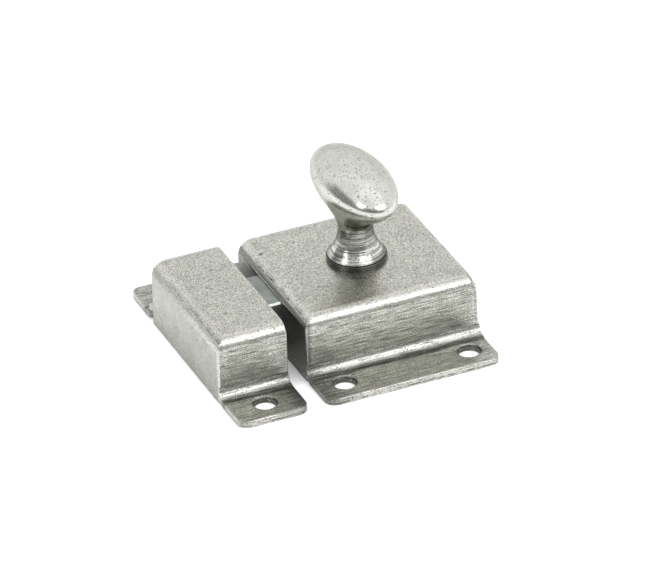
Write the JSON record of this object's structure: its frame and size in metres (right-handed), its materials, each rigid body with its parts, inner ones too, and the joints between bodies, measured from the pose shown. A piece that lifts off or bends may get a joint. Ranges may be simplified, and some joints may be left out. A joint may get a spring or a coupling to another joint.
{
  "type": "cupboard catch latch",
  "caption": "Surface-mounted cupboard latch: folded sheet-steel case with an oval turn knob and a sprung bolt, beside the open-sided keep that the bolt shoots into.",
  "frame": {"origin": "on the knob's axis, in the plane of the flanges' undersides, at the middle of the case's four screw holes", "axes": "+X along the bolt from the keep towards the case, +Y across the flanges towards the back, +Z out of the door, along the knob's axis"},
  "size_m": [0.0624, 0.0648, 0.0402],
  "materials": {
    "pewter_sheet": "pewter-patinated steel sheet, brushed along the folds, fine dark pits, edges worn bright",
    "pewter_knob": "pewter-patinated steel, satin polished with small pits, neck turned",
    "turned_washer": "dark turned steel",
    "zinc_plated_bolt": "bright zinc plate, faintly blue",
    "plain_steel": "plain machined steel",
    "spring_steel": "drawn spring wire"
  },
  "bodies": {
    "case": {"case_shell": "pewter_sheet", "case_slot_plate": "pewter_sheet", "case_rear_plate": "pewter_sheet", "spring_rod": "plain_steel", "bolt_spring": "spring_steel", "knob_washer": "turned_washer", "keep_shell": "pewter_sheet", "keep_end_plate": "pewter_sheet"},
    "knob": {"knob": "pewter_knob", "spindle_washer": "plain_steel", "cam": "plain_steel", "retaining_ring": "plain_steel"},
    "bolt": {"latch_bolt": "zinc_plated_bolt"}
  },
  "joints": [
    {"name": "knob_turn", "type": "hinge", "parent": "case", "child": "knob", "pos_m": [0, 0, 0], "axis": [0, 0, -1], "range_deg": [0, 80]},
    {"name": "bolt_slide", "type": "slide", "parent": "case", "child": "bolt", "axis": [1, 0, 0], "range_m": [0, 0.00558], "stiffness_N_per_m": 564, "springref_m": -0.003, "deforming": ["bolt_spring"]}
  ],
  "couplings": [
    {"joint": "knob_turn", "follows": "bolt_slide", "rad_per_m": 250}
  ]
}
